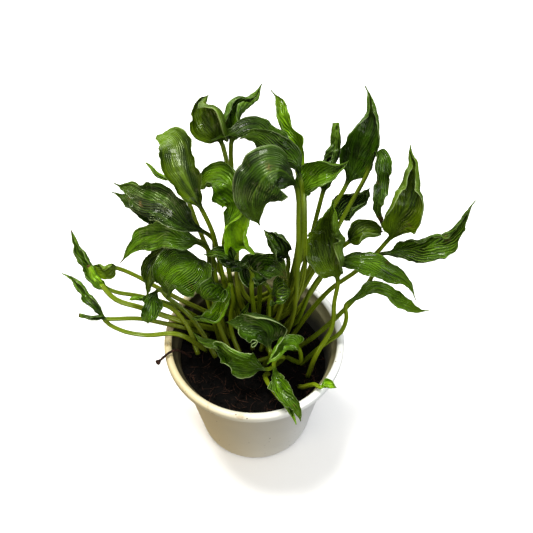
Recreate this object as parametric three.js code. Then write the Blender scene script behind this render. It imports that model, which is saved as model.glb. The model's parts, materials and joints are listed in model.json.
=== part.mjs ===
// Potted foliage plant: a clump of long-stalked, curling leaves in a round pot.
// Millimetres, +Z up. The origin is the centre of the pot's flat underside.
import * as THREE from 'three';

// ---------- driving dimensions ----------

const pot = {
  height: 132,
  rimRadius: 80,
  mouthRadius: 73.5,
  rimHeight: 9,
  rimRound: 2.4,
  ledgeRadius: 74,
  ledgeHeight: 3,
  bodyTopRadius: 71.5,
  baseRadius: 52,
  baseRound: 4,
  wall: 2.6,
  floor: 4,
};

const soil = {
  belowLedge: 18.5,
  slope: 0.12,
  ripple: 1.2,
};

const leafSize = {
  stalkRadius: 2.2,
  grooveDepth: 0.6,
  bladeThickness: 0.9,
};

const twig = {
  radius: 1.1,
  knobRadius: 2.4,
  overRim: 2.2,
};

const clearance = {
  soilToPot: 0.3,
  footToSoil: 0.3,
  twigToRim: 0.4,
};

// How finely the round and curved faces are cut.
const aroundPot = 48;
const rimTurns = 4;
const stalkRings = 4;
const bladeRings = [0, 0.09, 0.2, 0.33, 0.47, 0.61, 0.75, 0.88, 0.98];
// The share of the blade's length over which the stalk opens out into it.
const openedBy = 0.2;

// ---------- heights and radii that pieces share ----------

const rimTop = pot.height;
const ledgeTop = pot.height - pot.rimHeight;
const ledgeBottom = ledgeTop - pot.ledgeHeight;

const lerp = THREE.MathUtils.lerp;

/** Radius of the pot's inner wall at a height below the ledge. */
function innerRadius(z) {
  const up = (z - pot.floor) / (ledgeBottom - pot.floor);
  const low = pot.baseRadius - pot.wall;
  return lerp(low, pot.bodyTopRadius - pot.wall, up);
}

/** Height of the soil: it lies higher on the left than on the right, with a low ripple. */
function soilTop(x, y) {
  const level = ledgeBottom - soil.belowLedge - soil.slope * x;
  return level + soil.ripple * Math.sin(x / 9) * Math.cos(y / 7);
}

// ---------- materials ----------

const finish = (color, roughness) => new THREE.MeshStandardMaterial({ color, roughness, metalness: 0 });

const potFinish = finish('#e6e2d8', 0.45);
const soilFinish = finish('#1d1511', 0.95);
const barkFinish = finish('#3a2318', 0.9);
const leafTones = {
  dark: finish('#1f3d12', 0.4),
  mid: finish('#2f5a1c', 0.4),
  bright: finish('#5f9a1f', 0.4),
  olive: finish('#4c6416', 0.45),
};

// ---------- geometry helpers ----------

/** A closed solid from a list of points and triangles. */
function solid(points, triangles) {
  const geometry = new THREE.BufferGeometry();
  const xyz = points.flatMap((p) => [p.x, p.y, p.z]);
  geometry.setAttribute('position', new THREE.Float32BufferAttribute(xyz, 3));
  geometry.setIndex(triangles.flat());
  geometry.computeVertexNormals();
  return geometry;
}

/** Triangles of the skin between rings of equal size, numbered one after another. */
function skin(ringCount, size) {
  const triangles = [];
  for (let ring = 0; ring < ringCount - 1; ring += 1) {
    for (let i = 0; i < size; i += 1) {
      const next = (i + 1) % size;
      const a = ring * size + i;
      const b = ring * size + next;
      triangles.push([a, b, b + size], [a, b + size, a + size]);
    }
  }
  return triangles;
}

/** Triangles from the last ring to one more point, or to the first ring from one. */
const fan = (start, size, tip, flip) => Array.from({ length: size }, (_, i) => {
  const a = start + i;
  const b = start + ((i + 1) % size);
  return flip ? [b, a, tip] : [a, b, tip];
});

// ---------- pot ----------

/** Quarter and half turns of a rounded edge, as [radius, height] pairs. */
function rounded(centreRadius, centreHeight, round, from, to, steps) {
  return Array.from({ length: steps + 1 }, (_, i) => {
    const angle = lerp(from, to, i / steps);
    return [centreRadius + round * Math.cos(angle), centreHeight + round * Math.sin(angle)];
  });
}

function potGeometry() {
  const quarter = Math.PI / 2;
  const lip = pot.rimRound;
  const edge = pot.baseRound;
  const outline = [
    [0, 0],
    ...rounded(pot.baseRadius - edge, edge, edge, -quarter, 0, 3),
    [pot.bodyTopRadius, ledgeBottom],
    [pot.ledgeRadius, ledgeBottom],
    [pot.ledgeRadius, ledgeTop],
    ...rounded(pot.rimRadius - lip, ledgeTop + lip, lip, -quarter, 0, 2),
    ...rounded(pot.rimRadius - lip, rimTop - lip, lip, 0, quarter, rimTurns),
    ...rounded(pot.mouthRadius + lip, rimTop - lip, lip, quarter, 2 * quarter, rimTurns),
    [innerRadius(ledgeBottom), ledgeBottom],
    [innerRadius(pot.floor), pot.floor],
    [0, pot.floor],
  ];
  const profile = outline.map(([radius, height]) => new THREE.Vector2(radius, height));
  const geometry = new THREE.LatheGeometry(profile, aroundPot);
  geometry.rotateX(quarter);
  return geometry;
}

// ---------- soil ----------

function soilGeometry() {
  const shares = [0.12, 0.28, 0.44, 0.6, 0.75, 0.88, 1];
  const bottom = pot.floor + clearance.soilToPot;
  const gap = clearance.soilToPot;
  const points = [new THREE.Vector3(0, 0, soilTop(0, 0))];
  const outward = Array.from({ length: aroundPot }, (_, i) => (2 * Math.PI * i) / aroundPot);
  // The edge meets the sloping wall, so its radius is found from its own height.
  const edgeRadius = outward.map((angle) => {
    let radius = innerRadius(ledgeBottom);
    for (let turn = 0; turn < 6; turn += 1) {
      radius = innerRadius(soilTop(radius * Math.cos(angle), radius * Math.sin(angle))) - gap;
    }
    return radius;
  });
  for (const share of shares) {
    outward.forEach((angle, i) => {
      const x = share * edgeRadius[i] * Math.cos(angle);
      const y = share * edgeRadius[i] * Math.sin(angle);
      points.push(new THREE.Vector3(x, y, soilTop(x, y)));
    });
  }
  const low = innerRadius(bottom) - gap;
  outward.forEach((angle) => {
    points.push(new THREE.Vector3(low * Math.cos(angle), low * Math.sin(angle), bottom));
  });
  points.push(new THREE.Vector3(0, 0, bottom));
  const rings = shares.length + 1;
  const body = skin(rings, aroundPot).map(([a, b, c]) => [a + 1, c + 1, b + 1]);
  const top = fan(1, aroundPot, 0, false);
  const under = fan(1 + (rings - 1) * aroundPot, aroundPot, points.length - 1, true);
  return solid(points, [...body, ...top, ...under]);
}

// ---------- leaves ----------

/** Share of the full width at a place along the blade, 0 at the stalk and 1 at the tip. */
function bladeShare(along, widest, tipShare) {
  if (along < widest) {
    return Math.sin((0.5 * Math.PI * along) / widest);
  }
  const past = (along - widest) / (1 - widest);
  return lerp(tipShare, 1, Math.cos(0.5 * Math.PI * past));
}

/** The value at a place along a short list that is spread evenly from stalk to tip. */
function spread(list, along, mix) {
  const place = along * (list.length - 1);
  const i = Math.min(Math.floor(place), list.length - 2);
  return mix(list[i], list[i + 1], place - i);
}

const mixVectors = (a, b, t) => new THREE.Vector3(...a).lerp(new THREE.Vector3(...b), t);

/** Eight points round a stalk: the third lies in the groove along its upper side. */
function stalkSection(radius) {
  return Array.from({ length: 8 }, (_, i) => {
    const angle = Math.PI - (i * Math.PI) / 4;
    const reach = i === 2 ? radius - leafSize.grooveDepth : radius;
    return [reach * Math.cos(angle), reach * Math.sin(angle)];
  });
}

/** Eight points round a blade: five across its upper face, three back under it. */
function bladeSection(halfWidth, bend, thickness) {
  const angle = Math.abs(bend) < 0.02 ? 0.02 : bend;
  const radius = halfWidth / angle;
  const at = (side, lift) => {
    const turn = side * angle;
    const x = radius * Math.sin(turn) - lift * Math.sin(turn);
    const y = radius * (1 - Math.cos(turn)) + lift * Math.cos(turn);
    return [x, y];
  };
  const half = thickness / 2;
  const upper = [at(-1, 0), at(-0.5, half), at(0, half), at(0.5, half), at(1, 0)];
  const lower = [at(0.5, -half), at(0, -half), at(-0.5, -half)];
  return [...upper, ...lower];
}

/**
 * One leaf, grown as one piece from its foot in the soil to its tip. Heights are
 * measured from the pot's rim. `bend` is how far each half curls up, in degrees.
 */
function leafGeometry(leaf) {
  const fromRim = ([x, y, z]) => new THREE.Vector3(x, y, rimTop + z);
  const [footX, footY] = leaf.foot;
  const footZ = soilTop(footX, footY) + clearance.footToSoil + leafSize.stalkRadius;
  const foot = new THREE.Vector3(footX, footY, footZ);
  const stalk = [foot, ...leaf.stalk.map(fromRim)];
  const blade = leaf.blade.map(fromRim);
  const route = new THREE.CatmullRomCurve3([...stalk, ...blade], false, 'centripetal');
  const bladeStart = (stalk.length - 1) / (stalk.length + blade.length - 1);
  const places = [];
  for (let i = 0; i < stalkRings; i += 1) {
    places.push({ along: 0, t: (bladeStart * i) / stalkRings });
  }
  for (const along of bladeRings) {
    places.push({ along, t: lerp(bladeStart, 1, along) });
  }
  const forward = places.map(({ t }) => route.getTangent(t));
  const facing = places.map(({ along }) => spread(leaf.face, along, mixVectors));
  for (let ring = places.length - 1; ring >= 0; ring -= 1) {
    // The stalk carries the facing of the opened blade down to its foot, untwisted.
    if (places[ring].along < openedBy) {
      facing[ring].copy(facing[ring + 1]);
    }
    facing[ring].addScaledVector(forward[ring], -facing[ring].dot(forward[ring])).normalize();
  }
  const points = [foot];
  places.forEach(({ along, t }, ring) => {
    const centre = route.getPoint(t);
    const side = new THREE.Vector3().crossVectors(forward[ring], facing[ring]);
    const share = bladeShare(along, leaf.widest ?? 0.4, leaf.tipShare ?? 0.04);
    const half = Math.max(0.5 * leaf.width * share, 0.5);
    const bend = THREE.MathUtils.degToRad(spread(leaf.bend, along, lerp));
    const round = stalkSection(leafSize.stalkRadius * (leaf.stout ?? 1));
    const flat = bladeSection(half, bend, leafSize.bladeThickness);
    const opened = THREE.MathUtils.smoothstep(along, 0, openedBy);
    round.forEach(([x, y], i) => {
      const across = lerp(x, flat[i][0], opened);
      const up = lerp(y, flat[i][1], opened);
      points.push(centre.clone().addScaledVector(side, across).addScaledVector(facing[ring], up));
    });
  });
  const size = 8;
  const last = 1 + (places.length - 1) * size;
  const [t0, t1, t2, t3, t4, b3, b2, b1] = Array.from({ length: size }, (_, i) => last + i);
  const end = [[t0, t1, b1], [t1, b2, b1], [t1, t2, b2], [t2, b3, b2], [t2, t3, b3], [t3, t4, b3]];
  const body = skin(places.length, size).map(([a, b, c]) => [a + 1, b + 1, c + 1]);
  return solid(points, [...fan(1, size, 0, true), ...body, ...end]);
}

const leaves = [
  {
    name: 'left_low', tone: 'mid', foot: [-43, 1], width: 15,
    stalk: [[-70, -4, 14], [-96, -1, 7], [-118, 3, 9], [-131, 9, 14]],
    blade: [[-138, 20, 23], [-150, 31, 32], [-162, 37, 36], [-171, 43, 38]],
    face: [[0, -0.6, 0.8], [0, -0.6, 0.8]], bend: [30, 60, 90],
  },
  {
    name: 'left_cut_stalk', tone: 'dark', foot: [-42, 19], width: 9, tipShare: 0.8,
    stalk: [[-58, 14, -6], [-80, 12, 6], [-101, 11, 15], [-128, 8, 19]],
    blade: [[-137, 8, 20], [-146, 9, 20], [-154, 9, 22]],
    face: [[0, -0.6, 0.8], [0, -0.6, 0.8]], bend: [90, 140],
  },
  {
    name: 'left_rolled', tone: 'bright', foot: [-33, 25], width: 14, tipShare: 0.7, stout: 1.2,
    stalk: [[-57, 17, -2], [-99, 17, 23], [-123, 17, 40], [-131, 24, 46]],
    blade: [[-137, 31, 50], [-144, 38, 58]],
    face: [[0, -0.6, 0.8], [0, -0.6, 0.8]], bend: [120, 150, 150],
  },
  {
    name: 'left_long', tone: 'mid', foot: [-44, 30], width: 18,
    stalk: [[-67, 27, 8], [-97, 30, 21], [-124, 32, 27]],
    blade: [[-135, 37, 31], [-144, 47, 39], [-154, 59, 48], [-159, 66, 56], [-162, 73, 64]],
    face: [[0, -0.6, 0.8], [0, -0.6, 0.8], [-0.7, -0.3, 0.6]], bend: [40, 60, 70],
  },
  {
    name: 'left_small', tone: 'olive', foot: [-32, 38], width: 14,
    stalk: [[-80, 39, 16], [-101, 47, 26], [-121, 52, 34]],
    blade: [[-128, 51, 37], [-136, 51, 37], [-145, 53, 38]],
    face: [[0, -0.6, 0.8], [0, -0.6, 0.8]], bend: [30, 50],
  },
  {
    name: 'hanging_olive', tone: 'olive', foot: [-31, 11], width: 18,
    stalk: [[-43, 25, 39], [-49, 31, 66], [-58, 35, 74]],
    blade: [[-73, 38, 76], [-85, 35, 66], [-91, 28, 52], [-95, 17, 38]],
    face: [[0, 0.3, 1], [0, -0.6, 0.8], [0, -0.6, 0.8]], bend: [20, -30, -40],
  },
  {
    name: 'rolled_ribbed', tone: 'mid', foot: [-21, -1], width: 58, widest: 0.35, tipShare: 0.35,
    stalk: [[-36, 20, 29], [-36, 26, 63], [-41, 24, 80]],
    blade: [[-49, 17, 90], [-59, 9, 92], [-68, 4, 84], [-74, 0, 70]],
    face: [[0, 0.3, 1], [0, -0.6, 0.8], [-0.6, -0.6, 0.5]], bend: [-30, -100, -120, -150],
  },
  {
    name: 'hanging_fan', tone: 'dark', foot: [-35, -5], width: 17, widest: 0.7, tipShare: 0.4,
    stalk: [[-60, 19, 15], [-74, 22, 28], [-83, 26, 38]],
    blade: [[-88, 20, 34], [-89, 14, 30], [-94, 1, 21]],
    face: [[0, 0.3, 1], [0, -0.6, 0.8]], bend: [-20, -40],
  },
  {
    name: 'left_stub', tone: 'bright', foot: [-51, -3], width: 9, tipShare: 0.8,
    stalk: [[-66, 18, 11], [-81, 24, 18], [-93, 25, 22]],
    blade: [[-98, 26, 23], [-104, 25, 25], [-110, 23, 27]],
    face: [[0, -0.6, 0.8], [0, -0.6, 0.8]], bend: [100, 150],
  },
  {
    name: 'left_brown_tip', tone: 'mid', foot: [-21, 37], width: 20,
    stalk: [[-32, 20, 46], [-33, 25, 81], [-39, 27, 97]],
    blade: [[-53, 26, 108], [-72, 27, 112], [-91, 35, 98], [-103, 33, 88], [-115, 27, 74]],
    face: [[0, 0, 1], [0, 0, 1], [0, -0.6, 0.8]], bend: [30, 20, -40],
  },
  {
    name: 'left_broad', tone: 'dark', foot: [-24, 43], width: 30, widest: 0.5,
    stalk: [[-36, 32, 41], [-33, 34, 81], [-34, 26, 112]],
    blade: [[-51, 28, 126], [-69, 38, 132], [-88, 50, 134], [-103, 61, 132], [-117, 71, 128]],
    face: [[0, 0.3, 1], [0, -0.6, 0.8], [0, -0.6, 0.8]], bend: [40, 40, 30],
  },
  {
    name: 'left_under', tone: 'dark', foot: [-12, 51], width: 22,
    stalk: [[-38, 37, 39], [-38, 38, 65], [-42, 37, 90]],
    blade: [[-59, 45, 88], [-79, 51, 102], [-99, 58, 118], [-122, 78, 108]],
    face: [[0, 0, 1], [0, -0.6, 0.8], [0, -0.6, 0.8]], bend: [40, 40, 30],
  },
  {
    name: 'left_light_tip', tone: 'bright', foot: [-10, 56], width: 10, tipShare: 0.6,
    stalk: [[-43, 54, 66], [-54, 70, 100], [-65, 77, 122]],
    blade: [[-73, 80, 126], [-82, 83, 130], [-91, 88, 132]],
    face: [[0, -0.6, 0.8], [0, -0.6, 0.8]], bend: [90, 130],
  },
  {
    name: 'left_olive_hood', tone: 'olive', foot: [-17, 33], width: 38, widest: 0.45,
    stalk: [[-27, 20, 68], [-31, 20, 117], [-38, 24, 142]],
    blade: [[-46, 29, 160], [-55, 42, 172], [-58, 58, 178], [-67, 74, 176], [-79, 82, 170]],
    face: [[0, -0.6, 0.8], [0, -0.6, 0.8], [-0.3, -0.2, 0.9]], bend: [40, 50, 30],
  },
  {
    name: 'top_left_cup', tone: 'olive', foot: [-5, 38], width: 34,
    stalk: [[-14, 15, 59], [-15, 52, 123], [-21, 66, 155], [-24, 73, 169]],
    blade: [[-30, 77, 180], [-35, 85, 188], [-38, 94, 194], [-35, 102, 198]],
    face: [[-0.3, -0.6, 0.8], [-0.5, -0.6, 0.7], [-0.7, -0.3, 0.6]], bend: [50, 60, 80],
  },
  {
    name: 'top_point', tone: 'mid', foot: [5, 52], width: 22,
    stalk: [[-12, 24, 51], [-17, 60, 112], [-18, 77, 142], [-18, 82, 160]],
    blade: [[-15, 87, 172], [-11, 99, 183], [-2, 106, 190], [8, 117, 196]],
    face: [[0.3, -0.5, 0.8], [0, -0.6, 0.8], [0, -0.6, 0.8]], bend: [50, 60, 100],
  },
  {
    name: 'top_arch_back', tone: 'dark', foot: [14, 41], width: 22,
    stalk: [[34, 16, 80], [38, 36, 127], [36, 53, 158]],
    blade: [[28, 68, 172], [14, 75, 182], [-4, 73, 189], [-20, 64, 191], [-37, 56, 190]],
    face: [[0, 0.3, 1], [0, 0.3, 1], [0, 0, 1]], bend: [-20, -40, 20],
  },
  {
    name: 'top_arch_front', tone: 'dark', foot: [22, 36], width: 24,
    stalk: [[35, 11, 74], [40, 19, 133], [38, 37, 166]],
    blade: [[30, 45, 184], [16, 51, 194], [3, 54, 198], [-11, 52, 196]],
    face: [[0, 0.3, 1], [0, -0.6, 0.8], [0, -0.6, 0.8]], bend: [-20, -40, -20],
  },
  {
    name: 'big_centre', tone: 'dark', foot: [29, 22], width: 42, widest: 0.5,
    stalk: [[36, 4, 52], [36, 12, 132], [35, 25, 168]],
    blade: [[28, 25, 186], [15, 21, 196], [4, 14, 190], [0, 9, 172], [7, 5, 150]],
    face: [[0, 0.3, 1], [0, -0.6, 0.8], [0, -0.6, 0.8], [0, -0.6, 0.8]], bend: [-20, -45, -50, -20],
  },
  {
    name: 'top_right_slender', tone: 'bright', foot: [4, 58], width: 17,
    stalk: [[32, 50, 20], [40, 49, 106], [40, 66, 146]],
    blade: [[39, 77, 162], [31, 89, 174], [22, 100, 180], [18, 109, 186], [14, 117, 190]],
    face: [[0.3, -0.5, 0.8], [0, -0.6, 0.8], [0, -0.6, 0.8]], bend: [40, 60, 90],
  },
  {
    name: 'centre_curled', tone: 'mid', foot: [-10, 21], width: 26, widest: 0.45,
    stalk: [[-17, 21, 30], [-22, 22, 85], [-23, 18, 120]],
    blade: [[-18, 30, 130], [-14, 36, 146], [-19, 45, 155], [-31, 53, 155], [-41, 53, 148], [-47, 47, 138]],
    face: [[0, -0.6, 0.8], [0, -0.6, 0.8], [0, 0, 1], [0, -0.6, 0.8]], bend: [30, 40, -20, -50],
  },
  {
    name: 'centre_bright', tone: 'bright', foot: [2, 28], width: 20, widest: 0.3,
    stalk: [[5, 40, 18], [3, 43, 54], [-4, 30, 90]],
    blade: [[-10, 20, 110], [-11, 14, 132], [-7, 12, 150], [-2, 13, 162], [6, 16, 172]],
    face: [[0, -0.6, 0.8], [0, -0.6, 0.8], [0, -0.6, 0.8]], bend: [40, 50, 70],
  },
  {
    name: 'centre_ribbon', tone: 'dark', foot: [-2, 6], width: 13,
    stalk: [[1, 8, 18], [-2, 6, 60], [-2, 12, 86]],
    blade: [[-11, 13, 95], [-22, 8, 103], [-30, 9, 111], [-39, 7, 116]],
    face: [[0, -0.6, 0.8], [0, -1, 0.3], [0, 0, 1], [0, -0.6, 0.8]], bend: [30, 40, -30],
  },
  {
    name: 'centre_round', tone: 'dark', foot: [6, 5], width: 24, widest: 0.35,
    stalk: [[15, 20, 12], [14, 17, 48], [11, 14, 61]],
    blade: [[3, 17, 70], [8, 19, 81], [18, 11, 88], [30, 0, 86]],
    face: [[0, -0.6, 0.8], [0, -0.6, 0.8], [0, 0, 1]], bend: [30, 30, -40],
  },
  {
    name: 'centre_ribbed', tone: 'mid', foot: [12, 4], width: 19,
    stalk: [[12, 2, 18], [13, 3, 50], [15, 3, 62]],
    blade: [[20, 1, 68], [26, 0, 70], [32, -1, 71]],
    face: [[0, -0.6, 0.8], [0, -0.6, 0.8]], bend: [-20, -30],
  },
  {
    name: 'centre_crinkled', tone: 'dark', foot: [14, 26], width: 16,
    stalk: [[25, 10, 42], [28, 15, 75], [29, 19, 91]],
    blade: [[23, 23, 100], [14, 28, 106], [7, 34, 110]],
    face: [[0, -0.6, 0.8], [0.7, -0.3, 0.6], [0, -0.6, 0.8]], bend: [30, 60],
  },
  {
    name: 'grey_curl', tone: 'mid', foot: [-22, 17], width: 22,
    stalk: [[-30, 20, 9], [-25, 15, 41], [-28, 16, 59]],
    blade: [[-34, 7, 69], [-39, 1, 69], [-41, 0, 60]],
    face: [[0, 0.3, 1], [0, -0.6, 0.8], [0, -0.6, 0.8]], bend: [30, -40, -110],
  },
  {
    name: 'pale_lip', tone: 'bright', foot: [-12, -2], width: 24, widest: 0.5,
    stalk: [[-22, 15, -1], [-18, 15, 28], [-20, 15, 61]],
    blade: [[-23, 2, 59], [-32, -2, 47], [-42, -5, 40], [-54, -2, 32]],
    face: [[0, -0.6, 0.8], [0, -0.6, 0.8], [0, 0, 1]], bend: [30, 40, 80],
  },
  {
    name: 'sprout', tone: 'mid', foot: [-4, 16], width: 10,
    stalk: [[-12, 11, 0], [-10, 9, 12]],
    blade: [[-8, 8, 20], [-6, 10, 28], [-3, 14, 36]],
    face: [[0, -0.6, 0.8], [0, -0.6, 0.8]], bend: [40, 50],
  },
  {
    name: 'front_left', tone: 'mid', foot: [4, -6], width: 34, widest: 0.4,
    stalk: [[18, -9, -18], [13, -28, -6]],
    blade: [[-1, -31, 4], [-12, -25, 10], [-28, -19, 14], [-42, -14, 16], [-53, -5, 20]],
    face: [[0, -0.6, 0.8], [0, -0.6, 0.8], [0, -0.6, 0.8], [-0.7, -0.3, 0.6]], bend: [20, 20, 45, 70],
  },
  {
    name: 'front_over_rim', tone: 'mid', foot: [20, -8], width: 17,
    stalk: [[26, -16, -4], [19, -27, 10], [17, -37, 16]],
    blade: [[21, -53, 17], [27, -67, 15], [34, -78, 12], [39, -88, 9]],
    face: [[0, -0.6, 0.8], [0, -0.6, 0.8]], bend: [40, 70, 40],
  },
  {
    name: 'front_yellow_tip', tone: 'bright', foot: [12, -18], width: 9,
    stalk: [[9, -30, -15], [15, -48, -4], [21, -62, 4]],
    blade: [[27, -71, 4], [32, -80, 4], [36, -89, 4]],
    face: [[0, -0.6, 0.8], [0, -0.6, 0.8]], bend: [60, 120],
  },
  {
    name: 'pale_cup', tone: 'mid', foot: [30, 0], width: 21,
    stalk: [[41, -15, -16], [40, -15, 4]],
    blade: [[33, -17, 18], [24, -29, 28], [16, -39, 32], [10, -46, 32]],
    face: [[0, -0.6, 0.8], [0, 0, 1], [0, -0.6, 0.8]], bend: [30, 60, 60],
  },
  {
    name: 'centre_fan', tone: 'dark', foot: [9, -10], width: 36,
    stalk: [[13, -22, 0], [14, -25, 18]],
    blade: [[10, -16, 26], [3, -11, 34], [-9, -8, 38], [-25, -8, 40]],
    face: [[0, -0.6, 0.8], [0, -0.6, 0.8], [0, 0, 1]], bend: [30, -10, -50],
  },
  {
    name: 'right_over_rim', tone: 'bright', foot: [40, -30], width: 11,
    stalk: [[44, -41, -14], [52, -49, 4], [56, -53, 6]],
    blade: [[61, -53, 8], [66, -53, 8], [70, -55, 7]],
    face: [[0, 0, 1], [0, -0.6, 0.8]], bend: [40, 40],
  },
  {
    name: 'right_long_stalk', tone: 'olive', foot: [48, -20], width: 42, widest: 0.45,
    stalk: [[56, -15, 2], [67, -4, 20], [69, 8, 48], [71, 13, 65]],
    blade: [[67, 17, 87], [64, 32, 97], [63, 40, 117], [67, 49, 134]],
    face: [[0, -0.6, 0.8], [-0.3, -0.5, 0.8], [0, -0.6, 0.8]], bend: [30, 55, 50],
  },
  {
    name: 'right_loop', tone: 'mid', foot: [42, -6], width: 17,
    stalk: [[63, -6, 2], [76, -2, 14], [80, 4, 28], [79, 9, 38]],
    blade: [[91, 13, 48], [106, 14, 52], [123, 7, 48], [138, 4, 42], [151, 4, 40]],
    face: [[0, 0, 1], [0, -0.6, 0.8], [0, -0.6, 0.8]], bend: [30, 40, 60],
  },
  {
    name: 'right_arch', tone: 'mid', foot: [29, 31], width: 28,
    stalk: [[41, 15, 15], [46, 16, 42], [60, 25, 66]],
    blade: [[77, 26, 80], [96, 21, 86], [115, 15, 79], [129, 8, 70], [138, 1, 58]],
    face: [[0, 0.3, 1], [0, -0.6, 0.8], [0.7, -0.3, 0.6]], bend: [20, -30, -50],
  },
  {
    name: 'far_right', tone: 'mid', foot: [36, 8], width: 22,
    stalk: [[55, 6, -4], [74, 14, 18], [95, 26, 38], [105, 35, 58], [107, 42, 66]],
    blade: [[124, 31, 85], [143, 31, 94], [160, 30, 104], [172, 38, 116], [181, 51, 132]],
    face: [[0, 0, 1], [0, -0.6, 0.8], [0, -0.6, 0.8]], bend: [40, 50, 80],
  },
  {
    name: 'right_vase', tone: 'olive', foot: [31, 17], width: 36, widest: 0.35,
    stalk: [[50, 21, 12], [68, 25, 42], [89, 30, 61], [108, 35, 87]],
    blade: [[118, 38, 112], [124, 45, 130], [126, 55, 144], [126, 67, 156], [128, 79, 166]],
    face: [[0.4, -0.5, 0.8], [0, -0.6, 0.8], [0, -0.6, 0.8]], bend: [40, 50, 90, 60],
  },
  {
    name: 'right_olive_back', tone: 'olive', foot: [18, 20], width: 26,
    stalk: [[46, 26, 24], [61, 34, 53], [71, 37, 80], [78, 38, 88]],
    blade: [[87, 40, 94], [98, 44, 96], [110, 49, 94]],
    face: [[0, -0.6, 0.8], [0, -0.6, 0.8]], bend: [40, 50],
  },
  {
    name: 'right_drooping', tone: 'dark', foot: [23, 42], width: 16,
    stalk: [[48, 20, 66], [72, 45, 109], [91, 61, 148]],
    blade: [[99, 67, 167], [103, 54, 166], [102, 45, 148], [100, 37, 130], [104, 31, 114]],
    face: [[0, 0.3, 1], [0, -0.6, 0.8], [0, -0.6, 0.8]], bend: [-30, -60, -40],
  },
  {
    name: 'right_tall', tone: 'dark', foot: [12, 48], width: 36, widest: 0.3,
    stalk: [[38, 20, 54], [48, 35, 89], [67, 55, 118], [74, 61, 129]],
    blade: [[82, 72, 144], [89, 81, 162], [93, 93, 176], [94, 103, 188], [89, 113, 198]],
    face: [[0, -0.6, 0.8], [0, -0.6, 0.8], [0, -0.6, 0.8]], bend: [40, 45, 90],
  },
  {
    name: 'right_upright', tone: 'dark', foot: [-5, 58], width: 17, tipShare: 0.5,
    stalk: [[40, 37, 60], [52, 55, 98], [57, 65, 118]],
    blade: [[61, 72, 134], [66, 85, 152], [66, 98, 172]],
    face: [[0, -0.6, 0.8], [0, -0.6, 0.8]], bend: [60, 110, 110],
  },
  {
    name: 'right_ribbed_back', tone: 'dark', foot: [22, 52], width: 28,
    stalk: [[46, 33, 48], [58, 47, 82], [68, 55, 96]],
    blade: [[76, 62, 102], [87, 67, 110], [99, 74, 116]],
    face: [[0, -0.6, 0.8], [0, -0.6, 0.8]], bend: [20, 30],
  },
  {
    name: 'right_bright_wing', tone: 'mid', foot: [10, 33], width: 28,
    stalk: [[40, 8, 58], [42, 24, 110], [41, 33, 145]],
    blade: [[42, 40, 156], [53, 43, 166], [64, 47, 172], [75, 53, 176]],
    face: [[0, 0.3, 1], [0, -0.6, 0.8], [0, -0.6, 0.8]], bend: [40, 50, 80],
  },
];

// ---------- twig ----------

/** A scrap of bark that lies from the soil across the rim, with a knob at its outer end. */
function twigGeometry() {
  const lie = rimTop + clearance.twigToRim + twig.radius;
  const route = new THREE.CatmullRomCurve3([
    new THREE.Vector3(16 - pot.mouthRadius, -6, soilTop(16 - pot.mouthRadius, -6) + 3),
    new THREE.Vector3(9 - pot.mouthRadius, -9, rimTop - 8),
    new THREE.Vector3(3 - pot.mouthRadius, -14, lie + 1),
    new THREE.Vector3(-pot.rimRadius, -22, lie + 1),
    new THREE.Vector3(-4 - pot.rimRadius, -27, lie + 1),
  ]);
  const steps = 12;
  const size = 6;
  const points = [route.getPoint(0)];
  for (let i = 0; i <= steps; i += 1) {
    const along = i / steps;
    const centre = route.getPoint(along);
    const forward = route.getTangent(along);
    const side = new THREE.Vector3().crossVectors(forward, new THREE.Vector3(0, 0, 1)).normalize();
    const up = new THREE.Vector3().crossVectors(side, forward);
    const knob = THREE.MathUtils.smoothstep(along, 0.85, 0.97);
    const radius = lerp(twig.radius, twig.knobRadius, knob);
    for (let j = 0; j < size; j += 1) {
      const angle = (2 * Math.PI * j) / size;
      const point = centre.clone().addScaledVector(side, radius * Math.cos(angle));
      points.push(point.addScaledVector(up, radius * Math.sin(angle)));
    }
  }
  points.push(route.getPoint(1));
  const body = skin(steps + 1, size).map(([a, b, c]) => [a + 1, c + 1, b + 1]);
  const start = fan(1, size, 0, false);
  const end = fan(1 + steps * size, size, points.length - 1, true);
  return solid(points, [...start, ...body, ...end]);
}

// ---------- the whole plant ----------

const plant = new THREE.Group();

function add(name, geometry, material) {
  const mesh = new THREE.Mesh(geometry, material);
  mesh.name = name;
  plant.add(mesh);
}

add('pot', potGeometry(), potFinish);
add('soil', soilGeometry(), soilFinish);
add('bark_twig', twigGeometry(), barkFinish);
for (const leaf of leaves) {
  add(`leaf_${leaf.name}`, leafGeometry(leaf), leafTones[leaf.tone]);
}

export default plant;
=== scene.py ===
# %% [markdown]
# # A potted foliage plant
# A clump of long-stalked, half-wilted leaves grows from dark compost in a cream plastic pot.
# The plain solids of the pot, the compost, the bark twig and all forty-six leaves arrive as the
# frame. Each step below takes one of them and makes the surface that the eye sees.

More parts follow.
